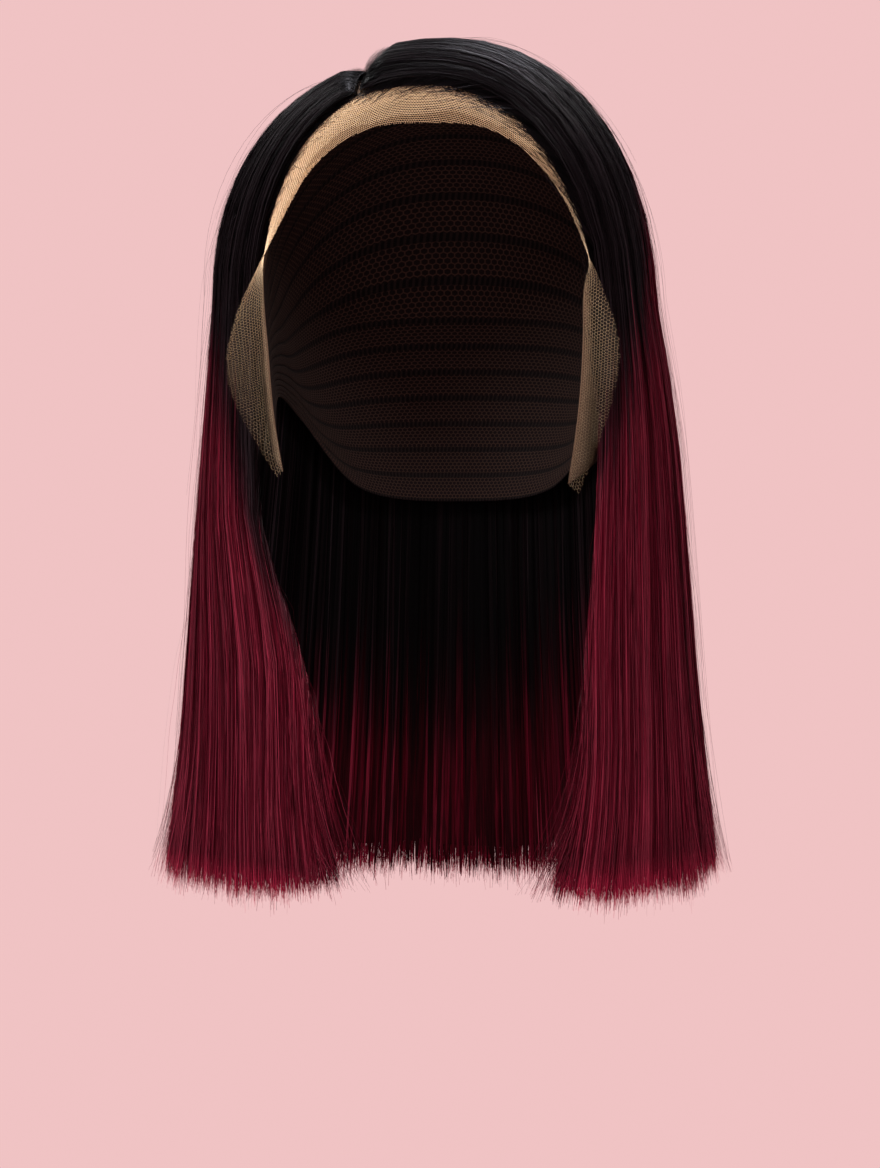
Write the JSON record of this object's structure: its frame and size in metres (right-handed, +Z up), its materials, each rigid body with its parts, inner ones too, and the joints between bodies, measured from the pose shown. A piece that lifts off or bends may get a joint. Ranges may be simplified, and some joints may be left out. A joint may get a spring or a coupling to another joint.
{
  "type": "lace-front bob wig",
  "caption": "Straight bob wig with a side part, a sheer lace front with temple flaps, a stretch cap, and black hair that turns burgundy towards a blunt cut.",
  "frame": {"origin": "the inside of the crown, where the cap sits on the top of the head", "axes": "+Z up, -Y out of the face opening, +X towards the wearer's left ear"},
  "size_m": [0.2401, 0.1905, 0.3674],
  "materials": {
    "lace": "sheer tan net, matt",
    "cap_mesh": "dark stretch net with wefts",
    "hair": "straight glossy hair, black at the roots and burgundy from the cheek down"
  },
  "bodies": {
    "root": {"lace_front": "lace", "cap": "cap_mesh", "hair_left": "hair", "hair_right": "hair", "hair_back": "hair"}
  },
  "joints": []
}
